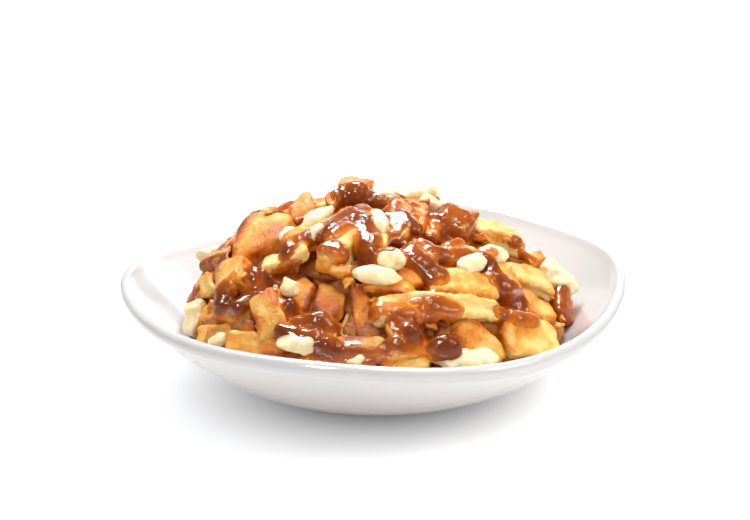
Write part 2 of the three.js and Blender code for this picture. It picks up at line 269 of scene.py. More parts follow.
def bowl_profile(angle):
    """Stations of the section at an angle: foot, outer face, lip, inner face and well."""
    radius, height = rim_radius(angle), rim_height(angle)
    stations = [(FOOT_RADIUS + out, up) for out, up in FOOT_SECTION]
    for share in np.linspace(0.0, 1.0, OUTER_STATIONS):
        run = FOOT_RADIUS + OUTER_START + (radius - OUTER_END_IN - FOOT_RADIUS - OUTER_START) * share
        stations.append((run, FOOT_HEIGHT + (height - OUTER_END_DOWN - FOOT_HEIGHT) * share ** FLARE))
    for turn in np.radians(np.linspace(*LIP_TURN, LIP_STATIONS)):
        run = radius - LIP_WIDTH + LIP_WIDTH * np.cos(turn)
        stations.append((run, height - LIP_DROP + LIP_HEIGHT * np.sin(turn)))
    for share in np.linspace(INNER_SHARE, 0.0, INNER_STATIONS):
        run = FOOT_RADIUS + (radius - WALL - FOOT_RADIUS) * share
        stations.append((run, FLOOR + (height + INNER_TOP - FLOOR) * share ** FLARE))
    for share in WELL_SHARES:
        stations.append((FOOT_RADIUS * share, FLOOR - WELL_DISH * (1 - share ** 2)))
    return stations


BOWL_SIDES = 240
bowl_points = []
for side in range(BOWL_SIDES):
    angle = 2 * math.pi * side / BOWL_SIDES
    bowl_points.append([(r * math.cos(angle), r * math.sin(angle), z) for r, z in bowl_profile(angle)])
bowl_points = np.array(bowl_points).transpose(1, 0, 2)
bowl_stations = len(bowl_points)
bowl_faces = ring_faces(bowl_stations, BOWL_SIDES)
well_middle = bowl_stations * BOWL_SIDES
foot_middle = well_middle + 1
middles = [(0, 0, FLOOR - WELL_DISH), (0, 0, FOOT_SECTION[0][1])]
bowl_points = np.vstack([bowl_points.reshape(-1, 3), middles])
last_ring = well_middle - BOWL_SIDES
for side in range(BOWL_SIDES):
    after = (side + 1) % BOWL_SIDES
    bowl_faces.append([last_ring + side, last_ring + after, well_middle])
    bowl_faces.append([after, side, foot_middle])


def noise(tree, place, scale, detail, **more):
    """Scattered values from 0 to 1, at so many lumps to the metre."""
    sockets = {"Vector": place, "Scale": scale, "Detail": detail, **more}
    return add_node(tree, "ShaderNodeTexNoise", sockets).outputs["Fac"]


def worked_out(tree, operation, *values):
    """The sum, product or the like of values."""
    return add_node(tree, "ShaderNodeMath", dict(enumerate(values)), operation=operation).outputs["Value"]


def point_value(tree, name):
    return add_node(tree, "ShaderNodeAttribute", attribute_name=name).outputs["Fac"]


def mixed_colour(tree, share, one, other, way="MIX"):
    sockets = {"Factor": share, "A": one, "B": other}
    return add_node(tree, "ShaderNodeMix", sockets, data_type="RGBA", blend_type=way).outputs["Result"]


def bumps(tree, height, strength, depth):
    sockets = {"Height": height, "Strength": strength, "Distance": depth}
    return add_node(tree, "ShaderNodeBump", sockets).outputs["Normal"]


# The outside's glaze colour is painted shade, greyer and warmer; the inside's is painted light, whiter and
# cooler.
OUTSIDE_PAINTED_SHADE = (0.75, 0.68, 0.64, 1.0)
INSIDE_PAINTED_LIGHT = (1.07, 1.13, 1.2, 1.0)
glaze = bpy.data.materials.new("white_glaze")
tree = node_tree(glaze)
place = object_place(tree)
drift = noise(tree, place, scale=14.0, detail=3.0)
speck = noise(tree, place, scale=900.0, detail=2.0)
tone = colour_ramp(tree, drift, ((0.0, (0.6, 0.584, 0.57)), (1.0, (0.64, 0.63, 0.617))))
# The inner share mixes the outside's painted shade into the inside's painted light.
painted_light_and_shade = mixed_colour(tree, point_value(tree, "inner"), OUTSIDE_PAINTED_SHADE, INSIDE_PAINTED_LIGHT)
finish_material(tree, {
    "Base Color": mixed_colour(tree, 1.0, tone, painted_light_and_shade, "MULTIPLY"),
    "Roughness": stretched(tree, drift, (0.0, 1.0), (0.07, 0.16)),
    "Normal": bumps(tree, worked_out(tree, "MULTIPLY", drift, speck), strength=0.12, depth=0.0006),
    "IOR": 1.5,
    "Coat Weight": 0.4,
    "Coat Roughness": 0.05,
})

bare_clay = bpy.data.materials.new("unglazed_foot")
tree = node_tree(bare_clay)
grit = noise(tree, object_place(tree), scale=1500.0, detail=4.0)
finish_material(tree, {
    "Base Color": colour_ramp(tree, grit, ((0.0, (0.62, 0.59, 0.54)), (1.0, (0.78, 0.76, 0.72)))),
    "Roughness": 0.75,
    "Normal": bumps(tree, grit, strength=0.5, depth=0.0002),
})

BARE_HEIGHT = 0.4
bowl = add_piece("porcelain_bowl", bowl_points, bowl_faces, [glaze, bare_clay])
for face in bowl.data.polygons:
    if face.center.z < BARE_HEIGHT * MM and math.hypot(face.center.x, face.center.y) < FOOT_RADIUS * MM:
        face.material_index = 1
# Where the inside's painted light takes over from the outside's painted shade over the lip: stations of
# the section, and its share at each.
SHADE_TO_LIGHT_STATIONS = (26, 44, 54)
SHADE_TO_LIGHT_SHARES = (0.0, 0.7, 1.0)
inner_share = np.interp(np.arange(bowl_stations), SHADE_TO_LIGHT_STATIONS, SHADE_TO_LIGHT_SHARES)
set_values(bowl, "inner", np.append(np.repeat(inner_share, BOWL_SIDES), (1.0, 0.0)))
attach(bowl, "root")
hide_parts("bowl")


# The chips' shared shape: potatoes cut into bars by hand and fried, so every bar is bent, its faces have
# sunk a little, its edges stand up and are browned, and its ends are cut askew. They lie on the heap's
# skin, a dome that leans to the left and falls away behind.
SKIN_BASE = 24.0
SKIN_RISE = 64.0
SKIN_LEAN = 0.12
SKIN_REACH = 99.0
SKIN_POWER = 3
SKIN_ROUNDING = 0.9
FAR_FALL = 0.36
FALL_FROM = 10.0
FALL_SOFTENING = 12.0


def skin_height(x, y):
    """Height of the heap's outer skin, on which the chips lie."""
    share = np.minimum(np.hypot(x, y) / SKIN_REACH, 1.0)
    behind = y - FALL_FROM
    fall = FAR_FALL * (behind + np.hypot(behind, FALL_SOFTENING)) / 2
    return SKIN_BASE + (SKIN_RISE - SKIN_LEAN * x) * (1 - share ** SKIN_POWER) ** SKIN_ROUNDING - fall


def skin_normal(x, y):
    """The direction straight out of the heap's skin."""
    slope_x = skin_height(x + 0.5, y) - skin_height(x - 0.5, y)
    slope_y = skin_height(x, y + 0.5) - skin_height(x, y - 0.5)
    normal = np.array([-slope_x, -slope_y, 1.0])
    return normal / np.linalg.norm(normal)


def draws_from(seed):
    """A small rule for scattered values: each call gives the next value from 0 to 1."""
    state = seed

    def draw():
        nonlocal state
        state = (state * 1664525 + 1013904223) & 0xFFFFFFFF
        return state / 4294967296

    return draw


def between(draw, span):
    """A scattered value between the least and the most of a span."""
    least, most = span
    return least + (most - least) * draw()


def lumps(points, size, seed):
    """Smooth scattered values from -1 to 1 at points, in lumps about as large as size."""
    spot = np.asarray(points, dtype=float) / size + 31.7 + 7.13 * seed
    cell = np.floor(spot).astype(np.int64)
    part = spot - cell
    part = part * part * (3 - 2 * part)
    total = np.zeros(len(spot))
    for corner in range(8):
        step = np.array([corner & 1, corner >> 1 & 1, corner >> 2 & 1])
        at = cell + step
        mixed = at[:, 0] * 73856093 ^ at[:, 1] * 19349663 ^ at[:, 2] * 83492791 ^ (seed + 11) * 97531
        mixed = ((mixed ^ mixed >> 13) * 1274126177) & 0xFFFFFFFF
        mixed = ((mixed ^ mixed >> 15) * 2246822519) & 0xFFFFFFFF
        weight = np.prod(np.where(step == 1, part, 1 - part), axis=1)
        total += weight * (mixed / 2147483647.5 - 1)
    return total


def bar_frame(start, finish):
    """A bar's middle, length and three directions: along it, across it and up from the heap."""
    start, finish = np.array(start, dtype=float), np.array(finish, dtype=float)
    middle = (start + finish) / 2
    length = np.linalg.norm(finish - start)
    axis = (finish - start) / length
    side = np.cross(axis, skin_normal(middle[0], middle[1]))
    side /= np.linalg.norm(side)
    return middle, length, axis, side, np.cross(side, axis)


# The rounding of a chip's end: the scales of its rings, and the power of the curve that they follow.
END_SCALES = (0.2, 0.42, 0.6, 0.75, 0.86, 0.94, 0.985, 1.0)
END_POWER = 2.7
DENT_SCALE = 0.75
BODY_GAP = 0.8
# How much the chips differ: taper, slant and wedge as shares, twist in degrees, sway in millimetres, and
# tone as a share of the browning.
TAPER = 0.3
TWIST = 34
SLANT = 0.7
WEDGE = 0.7
SWAY = 3.6
TONE = 0.22
SLANT_REACH = 6
SQUARENESS = (2.5, 4.8)
SUNK_FACES = (0.06, 0.2)
CORNER_SHARPNESS = 4
# An end narrows by a share, over a reach that has a least, a share of the length and a most to be added.
END_NARROWS = (0.08, 0.4)
LEAST_REACH = 3
REACH_SHARE = 0.32
MOST_REACH = 12
STUBBY = 2.4
POINT_REACH = 0.8
# An end is rounded over a share of the width: the least of it, how much more, and how seldom that is.
LEAST_ROUNDING = 0.14
MORE_ROUNDING = 0.4
ROUNDING_POWER = 1.4
DEEPEST_DENT = 2.2
DENTED_BELOW = 0.3
# The marks of frying, each with its height as a share of the chip's thickness and its size in millimetres.
BROAD_SWELL = (0.11, 12.0)
SMALL_SWELL = (0.055, 4.6)
GRAIN = (0.035, 2.2)
BLISTER = (0.07, 1.7)
FIBRE = (0.024, 1.7)
FIBRE_STRETCH = 0.75
# How far a chip's ends are torn, in millimetres, and the size of the tears.
BROAD_TEAR = (1.5, 4.2)
FINE_TEAR = (0.5, 1.8)
# The crust's browning: pale as a start, more for each step of frying, on edges and at ends, and in patches
# and flecks, each with its strength and its size in millimetres.
PALE = 0.03
DONE_BROWNS = 0.28
EDGE_BROWNS = 0.4
END_BROWNS = 0.16
PATCHES = (0.26, 9.0)
FLECKS = (0.17, 3.0)
CHIP_GAP = 0.35


def chip_stations(length, rounding, hollow, step):
    """Rings along a chip: the place of each, how far along the chip it counts as, and its scale."""
    ends = []
    for reach, dent in zip(rounding, hollow):
        end = []
        for scale in END_SCALES:
            run = reach * (1 - (1 - scale ** END_POWER) ** (1 / END_POWER))
            end.append((run + dent * max(0.0, 1 - (scale / DENT_SCALE) ** 2), run, scale))
        ends.append(end)
    body = length - sum(rounding) - 2 * BODY_GAP
    runs = np.linspace(rounding[0] + BODY_GAP, length - rounding[1] - BODY_GAP, max(int(body / step), 1))
    far_end = [(length - place, length - run, scale) for place, run, scale in reversed(ends[1])]
    return ends[0] + [(run, run, 1.0) for run in runs] + far_end


def chip_outline(around, squareness, sunk):
    """A chip's outline: a rounded square with sunk faces, and how near each of its points is to a corner."""
    turn = 2 * math.pi * np.arange(around) / around
    corner = np.abs(np.sin(2 * turn)) ** CORNER_SHARPNESS
    reach = (np.abs(np.cos(turn)) ** squareness + np.abs(np.sin(turn)) ** squareness) ** (-1 / squareness)
    reach = reach * (1 - sunk * (1 - np.sqrt(corner)))
    return reach * np.cos(turn), reach * np.sin(turn), corner


def fried_points(points, middle, axis, size, edge, end, seed):
    """A chip's points after frying: swollen in lumps, blistered along the edges and torn at the ends."""
    along = (points - middle) @ axis
    outward = points - (middle + np.outer(along, axis))
    outward /= np.maximum(np.linalg.norm(outward, axis=1, keepdims=True), 1e-6)

    def mark(kind, seed, at=points):
        return kind[0] * size * lumps(at, kind[1], seed)

    swell = mark(BROAD_SWELL, seed) + mark(SMALL_SWELL, seed + 1)
    swell += mark(GRAIN, seed + 2) * (0.5 + edge)
    swell += np.abs(mark(BLISTER, seed + 5)) * edge ** 2
    swell += mark(FIBRE, seed + 6, points - np.outer(FIBRE_STRETCH * along, axis))
    tear = BROAD_TEAR[0] * lumps(points, BROAD_TEAR[1], seed + 7)
    torn = end * (tear + FINE_TEAR[0] * lumps(points, FINE_TEAR[1], seed + 8))
    return points + outward * swell[:, None] + np.outer(torn, axis)


def crust_browning(points, done, tone, edge, end, seed):
    """How brown the crust is at points, from 0 to about 1: more along edges, at the ends and in patches."""
    patch = lumps(points, PATCHES[1], seed + 3)
    fleck = lumps(points, FLECKS[1], seed + 4)
    browned_edge = EDGE_BROWNS * edge ** 2 * np.clip(0.5 + 1.1 * patch, 0, 1.3)
    browned = PALE + DONE_BROWNS * done + tone + browned_edge + END_BROWNS * end
    return browned + (PATCHES[0] * patch + FLECKS[0] * fleck)


def chip_surface(row, seed, around, step):
    """Points, faces and browning of one chip, meshed with so many points around and so long a step."""
    start, finish, width, thickness, bow, done = row[:6]
    middle, length, axis, side, up = bar_frame(start, finish)
    draw = draws_from(seed * 7919 + 13)
    draw()
    taper = TAPER * (draw() - 0.5)
    twist = math.radians(TWIST * (draw() - 0.5))
    askew = [(SLANT * (draw() - 0.5), SLANT * (draw() - 0.5)) for _ in range(2)]
    squareness = between(draw, SQUARENESS)
    sunk = between(draw, SUNK_FACES)
    wedge = WEDGE * (draw() - 0.5)
    narrowing = []
    for _ in range(2):
        reach = LEAST_REACH + min(REACH_SHARE * length, MOST_REACH) * draw()
        narrowing.append((reach, between(draw, END_NARROWS) * min(1.0, length / (STUBBY * width))))
    if len(row) > 6:
        narrowing[1] = (POINT_REACH * length, row[6])
    sideways, tone = SWAY * (draw() - 0.5), TONE * (draw() - 0.5)
    rounding = []
    for _ in range(2):
        rounding.append(min(width, length / 2) * (LEAST_ROUNDING + MORE_ROUNDING * draw() ** ROUNDING_POWER))
    hollow = [DEEPEST_DENT * draw() * max(0.0, 1 - reach / (DENTED_BELOW * width)) for reach in rounding]
    stations = chip_stations(length, rounding, hollow, step)
    across, over, corner = chip_outline(around, squareness, sunk)
    points, edge, end = [], [], []
    for place, run, scale in stations:
        share = run / length
        reach, drop = narrowing[0] if share < 0.5 else narrowing[1]
        scale *= 1 - drop * max(0.0, 1 - min(run, length - run) / reach) ** 1.6
        wide = width / 2 * scale * (1 + taper * (share - 0.5))
        thick = thickness / 2 * scale * (1 + 0.6 * taper * (share - 0.5))
        angle = twist * (share - 0.5)
        a = wide * (across * math.cos(angle) - over * thick / wide * math.sin(angle))
        b = thick * (over * (1 + wedge * across) * math.cos(angle) + across * wide / thick * math.sin(angle))
        near_end = max(0.0, 1 - min(share, 1 - share) * length / SLANT_REACH)
        slant = askew[0] if share < 0.5 else askew[1]
        shift = (slant[0] * a + slant[1] * b) * near_end
        rise = bow * 4 * share * (1 - share)
        at = middle + axis * (place - length / 2)
        sway = sideways * (4 * share * (1 - share) - 0.5)
        points.append(at + np.outer(shift, axis) + np.outer(a + sway, side) + np.outer(b + rise, up))
        edge.append(corner * min(1.0, scale ** 3 + 0.1))
        end.append(np.full(around, near_end ** 2))
    edge, end = np.concatenate(edge), np.concatenate(end)
    points = fried_points(np.concatenate(points), middle, axis, min(width, thickness), edge, end, seed)
    poles = [points[:around].mean(axis=0), points[-around:].mean(axis=0)]
    first_pole = len(points)
    points = np.vstack([points, poles])
    lift_off_bowl(points, CHIP_GAP)
    faces = ring_faces(len(stations), around)
    last_ring = first_pole - around
    for spot in range(around):
        after = (spot + 1) % around
        faces.append([after, spot, first_pole])
        faces.append([last_ring + spot, last_ring + after, first_pole + 1])
    browned = crust_browning(points[:-2], done, tone, edge, end, seed)
    browned = np.append(browned, [browned[:around].mean(), browned[-around:].mean()])
    return points, faces, browned


# The fried potato's finish: a dry golden crust, pale where a face lay against another chip and brown and
# blistered along the edges. Where gravy has run close by, the crust has soaked it up.
def fried_material(name, ramp, soaked_colour):
    """A crust whose colours follow its browning by a ramp, and that turns to another where it is soaked."""
    material = bpy.data.materials.new(name)
    tree = node_tree(material)
    place = object_place(tree)
    mottle = noise(tree, place, scale=640.0, detail=6.0, Roughness=0.7)
    crumb = noise(tree, place, scale=1500.0, detail=3.0, Roughness=0.6)
    blister = add_node(tree, "ShaderNodeTexVoronoi", {"Vector": place, "Scale": 620.0}, feature="SMOOTH_F1")
    spread = stretched(tree, mottle, (0.3, 0.7), (-0.17, 0.17))
    speck = stretched(tree, crumb, (0.58, 0.72), (0.0, 0.2))
    dappled = worked_out(tree, "ADD", spread, speck)
    shade = worked_out(tree, "ADD", point_value(tree, "browned"), dappled)
    wet = worked_out(tree, "MULTIPLY", point_value(tree, "soaked"), mottle)
    wet_share = stretched(tree, wet, (0.12, 0.62), (0.0, 0.75))
    dryness = stretched(tree, mottle, (0.35, 0.65), (0.2, 0.42))
    roughness = add_node(tree, "ShaderNodeMix", {
        "Factor": wet_share, "A": dryness, "B": 0.16,
    }, data_type="FLOAT")
    relief = worked_out(tree, "MULTIPLY_ADD", blister.outputs["Distance"], 0.5, mottle)
    relief = worked_out(tree, "MULTIPLY_ADD", crumb, 0.3, relief)
    finish_material(tree, {
        "Base Color": mixed_colour(tree, wet_share, colour_ramp(tree, shade, ramp), (*soaked_colour, 1.0)),
        "Roughness": roughness.outputs[0],
        "Normal": bumps(tree, relief, strength=0.6, depth=0.0012),
        "Specular IOR Level": 0.45,
        "Subsurface Weight": 0.45,
        "Subsurface Radius": (1.0, 0.4, 0.1),
        "Subsurface Scale": 0.004,
    })
    return material


CRUST_RAMP = (
    (0.0, (0.95, 0.7, 0.27)),
    (0.2, (0.93, 0.53, 0.1)),
    (0.4, (0.87, 0.33, 0.02)),
    (0.62, (0.68, 0.16, 0.006)),
    (0.92, (0.28, 0.06, 0.004)),
)
crust = fried_material("fried_crust", CRUST_RAMP, (0.42, 0.13, 0.012))


def chips_from(rows, seed, around, step):
    """The surfaces of many chips, each of its own shape."""
    return [chip_surface(row, seed + number, around, step) for number, row in enumerate(rows)]


def add_chips(name, chips, material):
    """One piece of the heap from the surfaces of many chips."""
    faces = []
    count = 0
    for points, chip_faces, _ in chips:
        faces += [[corner + count for corner in face] for face in chip_faces]
        count += len(points)
    piece = add_piece(name, np.concatenate([points for points, _, _ in chips]), faces, [material])
    set_values(piece, "browned", np.concatenate([browned for _, _, browned in chips]))
    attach(piece, "root")
    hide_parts("heap")
    return piece


# The chips in front: bars of potato fried golden and heaped loosely, each laid from one end to the other as
# the photograph shows it, with its width, thickness, bow and how far it is fried, from about 0 for pale to
# 2.5 for dark. A last value says how much the second end runs to a point.
front_rows = (
    ((-54, -33, 71), (-47, -8, 84), 31, 13, 1, 0.8),
    ((-80, 2, 58), (-63, -12, 67), 11, 10, 0, 1.3),
    ((-78, -19, 61), (-73, -29, 54), 10, 10, 0, 1.2),
    ((-71, -33, 59), (-57, -41, 69), 18, 12, 1, 1.5),
    ((-50, -58, 66), (-44, -74, 49), 15, 9, 1, 0.9),
    ((-80, -30, 44), (-57, -54, 54), 11, 11, 0, 1.5),
    ((-80, -40, 39), (-52, -63, 49), 9, 9, 0, 1.5),
    ((-66, -59, 43), (-39, -77, 46), 10, 10, 1, 1.7),
    # The next three chips are darker partly from gravy and frying and partly as painted shade, where they
    # lie under the chips above.
    ((-34, -67, 57), (-30, -53, 68), 10, 9, 0, 1.9),
    ((-23, -71, 56), (-19, -59, 67), 14, 9, 0, 1.6),
    ((-5, -80, 49), (-9, -60, 69), 9, 9, 0, 2.5),
    ((-16, -76, 50), (-10, -71, 57), 10, 8, 0, 0.6),
    ((-6, -63, 69), (18, -65, 63), 10, 9, 1, 1.0),
    ((-21, -60, 77), (-11, -34, 83), 14, 14, 0, 0.7),
    ((-40, -75, 50), (-18, -78, 54), 16, 10, 1, 1.3),
    ((5, -77, 57), (14, -84, 47), 13, 10, 0, 1.4),
    ((3, -85, 47), (18, -82, 49), 15, 9, 1, 1.2),
    ((1, -89, 42), (22, -86, 41), 8, 7, 0, 0.6),
    ((-33, -81, 43), (-1, -86, 42), 10, 9, 1, 1.2),
    ((-21, -81, 48), (3, -84, 47), 10, 9, 0, 1.2),
    ((-3, -76, 61), (53, -60, 53), 12, 11, 2, 0.3),
    ((22, -61, 67), (52, -50, 59), 14, 10, 1, 0.6),
    ((57, -34, 62), (79, -19, 48), 13, 9, 1, 0.4),
    ((45, -4, 73), (69, 0, 61), 11, 11, 1, 0.1),
    ((70, -6, 57), (79, 3, 56), 7, 7, 0, 0.8),
    ((50, -33, 67), (60, -47, 55), 12, 10, 0, 1.0),
    ((33, -68, 51), (51, -74, 34), 14, 10, 1, 1.0),
    ((53, -67, 45), (78, -55, 34), 22, 13, 2, 0.9),
    ((64, -42, 51), (79, -34, 40), 14, 9, 0, 0.9),
    ((87, -9, 43), (84, -26, 34), 12, 9, 0, 1.0),
    ((33, -20, 76), (41, -2, 80), 17, 13, 1, 1.2),
    ((24, -31, 78), (28, -14, 81), 7, 7, 0, 0.9),
    ((28, -45, 72), (41, -32, 72), 13, 11, 0, 1.0),
    ((15, -56, 71), (23, -40, 76), 15, 11, 1, 1.0),
    ((10, -55, 72), (19, -60, 66), 10, 7, 0, 1.5),
    ((-38, -3, 82), (-8, 5, 84), 14, 12, 1, 1.0),
    ((-6, 6, 84), (30, 2, 81), 14, 12, 1, 0.8),
    ((-12, -1, 90), (-4, 13, 91), 14, 12, 1, 1.3),
    ((-33, -14, 83), (-31, -4, 95), 13, 7, 0, 1.3, 0.75),
    ((-20, -8, 88), (-19, -1, 92), 6, 5, 0, 0.6),
    ((-41, -40, 78), (-26, -37, 83), 11, 11, 1, 1.1),
    ((-24, -41, 80), (-1, -14, 84), 13, 12, 1, 1.0),
    ((0, -50, 77), (-3, -24, 84), 12, 11, 0, 1.0),
    ((8, -39, 79), (12, -9, 87), 12, 11, 0, 0.9),
    ((17, -32, 79), (19, -6, 86), 10, 10, 1, 1.0),
    ((31, 8, 84), (17, 10, 87), 9, 8, 0, 0.6),
    ((-50, -46, 74), (-30, -50, 83), 7, 6, -3, -0.2),
)
front_chips = add_chips("chips_in_front", chips_from(front_rows, seed=300, around=40, step=1.2), crust)


# The chips over the far side: the photograph doesn't show them, so they are the same hand-cut chips,
# laid on the heap's skin in rings, with scattered headings. A ring is a radius, its first and last degree
# and how many chips it has, and the gap rings lie a little lower, to fill what the first ones leave open.
FAR_RINGS = ((34, 50, 140, 3), (54, 10, 170, 4), (71, 6, 172, 5), (84, 10, 168, 6))
GAP_RINGS = ((26, 40, 150, 2), (44, 15, 165, 5), (62, 0, 180, 8), (77, -2, 182, 9))
FAR_LIFT = -6
GAP_LIFT = -9
FAR_SCATTER = 110
FAR_WIDTHS = (9, 15)
THICKNESSES = (8, 11)
# The far-side chips are set more done than those in front, as painted shade against the lamps behind.
FAR_DONE_AND_SHADE = (1.0, 1.8)
FAR_BOW = 1.5


def laid_on_skin(x, y, heading, half, lift, tilt):
    """Both ends of a chip over x, y that lies so far above the heap's skin and is tilted along it."""
    step_x, step_y = half * math.cos(heading), half * math.sin(heading)
    start = (x - step_x, y - step_y, skin_height(x - step_x, y - step_y) + lift - tilt)
    finish = (x + step_x, y + step_y, skin_height(x + step_x, y + step_y) + lift + tilt)
    return start, finish


far_draw = draws_from(41)
far_rows = []
for ring, (radius, first, last, count) in enumerate(FAR_RINGS + GAP_RINGS):
    for number in range(count):
        share = (number + 0.25 + 0.5 * far_draw()) / count
        angle = math.radians(first + (last - first) * share)
        heading = angle + math.radians(90 + FAR_SCATTER * (far_draw() - 0.5))
        half = 11 + 13 * far_draw() * far_draw()
        width = between(far_draw, FAR_WIDTHS)
        thickness = between(far_draw, THICKNESSES)
        lift = (FAR_LIFT if ring < len(FAR_RINGS) else GAP_LIFT) + 3 * far_draw()
        tilt = 4 * (far_draw() - 0.5)
        x, y = radius * math.cos(angle), radius * math.sin(angle)
        start, finish = laid_on_skin(x, y, heading, half, lift, tilt)
        far_rows.append((start, finish, width, thickness, FAR_BOW, between(far_draw, FAR_DONE_AND_SHADE)))
far_chips = add_chips("chips_on_far_side", chips_from(far_rows, seed=360, around=32, step=1.4), crust)


# The chips below: a second layer that shows between those on top, darker and softer with gravy, laid by
# rule on a lower skin, and under them the imported middle of the heap, all chips and sauce. The near
# ones and the middle are darker besides as painted shade, where they show only in the gaps. A ring is a
# radius, how many chips it has and how deep they lie.
LOWER_RINGS = (
    (14, 5, 10.0), (34, 9, 10.0), (52, 12, 10.5), (66, 17, 10.5), (77, 18, 9.0),
    (24, 9, 12.5), (43, 13, 12.5), (59, 16, 12.5), (72, 17, 12.0),
)
OUTER_RING = 75
FAR_SIDE_FROM = 5
FAR_SIDE_RAISE = 3.5
LOWER_SCATTER = 150
LOWER_WIDTHS = (9, 14)
LEAST_CLEARANCE = 2
LOWER_BOW = 1.0
lower_draw = draws_from(5077)
lower_rows = []
for radius, count, depth in LOWER_RINGS:
    for number in range(count):
        angle = 2 * math.pi * (number + lower_draw()) / count
        heading = angle + math.radians(90 + LOWER_SCATTER * (lower_draw() - 0.5))
        half = 8 + (10 if radius < OUTER_RING else 4) * lower_draw()
        width = between(lower_draw, LOWER_WIDTHS)
        thickness = between(lower_draw, THICKNESSES)
        x, y = radius * math.cos(angle), radius * math.sin(angle)
        lift = (FAR_SIDE_RAISE if y > FAR_SIDE_FROM else 0) - depth - 3 * lower_draw()
        tilt = 5 * (lower_draw() - 0.5)
        start, finish = laid_on_skin(x, y, heading, half, lift, tilt)
        # Chips on the far side are set more done, as painted shade against the lamps behind.
        done = (0.9 if y > FAR_SIDE_FROM else 0.5) + 1.1 * lower_draw()
        clearance = min(start[2] - bowl_inside(*start[:2]), finish[2] - bowl_inside(*finish[:2]))
        if clearance > LEAST_CLEARANCE:
            lower_rows.append((start, finish, width, thickness, LOWER_BOW, done))

# The row along the wall, whose chips lie on the bowl, apart from where the photograph shows it bare.
WALL_CHIPS = 30
WALL_REACH = 84
WALL_REACH_BEHIND = 7
WALL_SCATTER = 80
WALL_LIFTS = (6, 10)
WALL_HALF_LENGTHS = (7, 14)
WALL_WIDTHS = (11, 15)
WALL_THICKNESS = 9.0


def wall_is_bare(x, y):
    """Whether the photograph shows the bowl's bare wall there, as at the front right and at both sides."""
    return 16 < x < 56 and y < -60 or abs(x) > 77 and -48 < y < 26


for number in range(WALL_CHIPS):
    angle = math.radians(90) + 2 * math.pi * (number + 0.7 * lower_draw()) / WALL_CHIPS
    reach = WALL_REACH + 5 * lower_draw() - WALL_REACH_BEHIND * max(0.0, math.sin(angle))
    x, y = reach * math.cos(angle), reach * math.sin(angle)
    heading = angle + math.radians(90 + WALL_SCATTER * (lower_draw() - 0.5))
    half = between(lower_draw, WALL_HALF_LENGTHS)
    step_x, step_y = half * math.cos(heading), half * math.sin(heading)
    ends = []
    for end_x, end_y in ((x - step_x, y - step_y), (x + step_x, y + step_y)):
        ends.append((end_x, end_y, float(bowl_inside(end_x, end_y)) + between(lower_draw, WALL_LIFTS)))
    width = between(lower_draw, WALL_WIDTHS)
    # Chips on the far side are set more done, as painted shade against the lamps behind.
    done = (0.9 if y > FAR_SIDE_FROM else 0.3) + lower_draw()
    if not wall_is_bare(x, y):
        lower_rows.append((*ends, width, WALL_THICKNESS, LOWER_BOW, done))

NEAR_SIDE_TO = 10
near_rows = [row for row in lower_rows if row[0][1] + row[1][1] < NEAR_SIDE_TO]
back_rows = [row for row in lower_rows if row[0][1] + row[1][1] >= NEAR_SIDE_TO]
# The lower chips' ramp is darker partly from gravy and partly as painted shade for the gaps they show in.
SODDEN_AND_SHADED_RAMP = (
    (0.0, (0.7, 0.34, 0.06)),
    (0.4, (0.56, 0.19, 0.02)),
    (0.7, (0.36, 0.08, 0.006)),
    (1.0, (0.16, 0.034, 0.003)),
)
sodden_and_shaded = fried_material("sodden_shaded_crust", SODDEN_AND_SHADED_RAMP, (0.26, 0.055, 0.004))
lower_chips = add_chips("chips_below", chips_from(near_rows, seed=400, around=24, step=1.8), sodden_and_shaded)
back_chips = add_chips("chips_below_far_side", chips_from(back_rows, seed=500, around=24, step=1.8), crust)

MIDDLE_DEPTH = 14.0
MIDDLE_SIDES = 200
MIDDLE_RINGS = 90
MIDDLE_UNDER_RINGS = 12
MIDDLE_GAP = 0.6
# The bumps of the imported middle, each with its height and its size.
SWELLS = (1.8, 7.0)
KNOBS = (1.1, 4.0)
CRUMBS = (0.4, 2.0)


def middle_reach(angle):
    """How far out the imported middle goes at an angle, to where its skin comes down to the bowl."""
    reach = 60.0
    while reach < SKIN_REACH:
        x, y = reach * math.cos(angle), reach * math.sin(angle)
        if skin_height(x, y) - MIDDLE_DEPTH <= bowl_inside(x, y) + MIDDLE_GAP:
            break
        reach += 0.5
    return reach


middle_points = []
for side in range(MIDDLE_SIDES):
    angle = 2 * math.pi * side / MIDDLE_SIDES
    reach = middle_reach(angle)
    for share in np.linspace(0.02, 1.0, MIDDLE_RINGS):
        x, y = reach * share * math.cos(angle), reach * share * math.sin(angle)
        middle_points.append((x, y, skin_height(x, y) - MIDDLE_DEPTH))
    for share in np.linspace(0.97, 0.02, MIDDLE_UNDER_RINGS):
        x, y = reach * share * math.cos(angle), reach * share * math.sin(angle)
        middle_points.append((x, y, float(bowl_inside(x, y)) + MIDDLE_GAP))
middle_points = np.array(middle_points).reshape(MIDDLE_SIDES, -1, 3).transpose(1, 0, 2).reshape(-1, 3)
top = middle_points[:MIDDLE_RINGS * MIDDLE_SIDES]
top_bumps = SWELLS[0] * lumps(top, SWELLS[1], 5) + KNOBS[0] * np.abs(lumps(top, KNOBS[1], 6))
top[:, 2] += top_bumps + CRUMBS[0] * lumps(top, CRUMBS[1], 7)
lift_off_bowl(middle_points, MIDDLE_GAP)
middle_faces = [face[::-1] for face in ring_faces(MIDDLE_RINGS + MIDDLE_UNDER_RINGS, MIDDLE_SIDES)]
# The middle's ramp is dark partly from chips and sauce and partly as painted shade deep in the heap.
PACKED_AND_SHADED_RAMP = ((0.0, (0.36, 0.1, 0.012)), (1.0, (0.12, 0.026, 0.003)))
packed_and_shaded = fried_material("packed_shaded_middle", PACKED_AND_SHADED_RAMP, (0.08, 0.014, 0.002))
middle = add_piece("packed_shaded_middle", middle_points, middle_faces, [packed_and_shaded])
set_values(middle, "browned", 0.5 + 0.5 * lumps(middle_points, 6.0, 8))
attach(middle, "root")
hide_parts("heap")


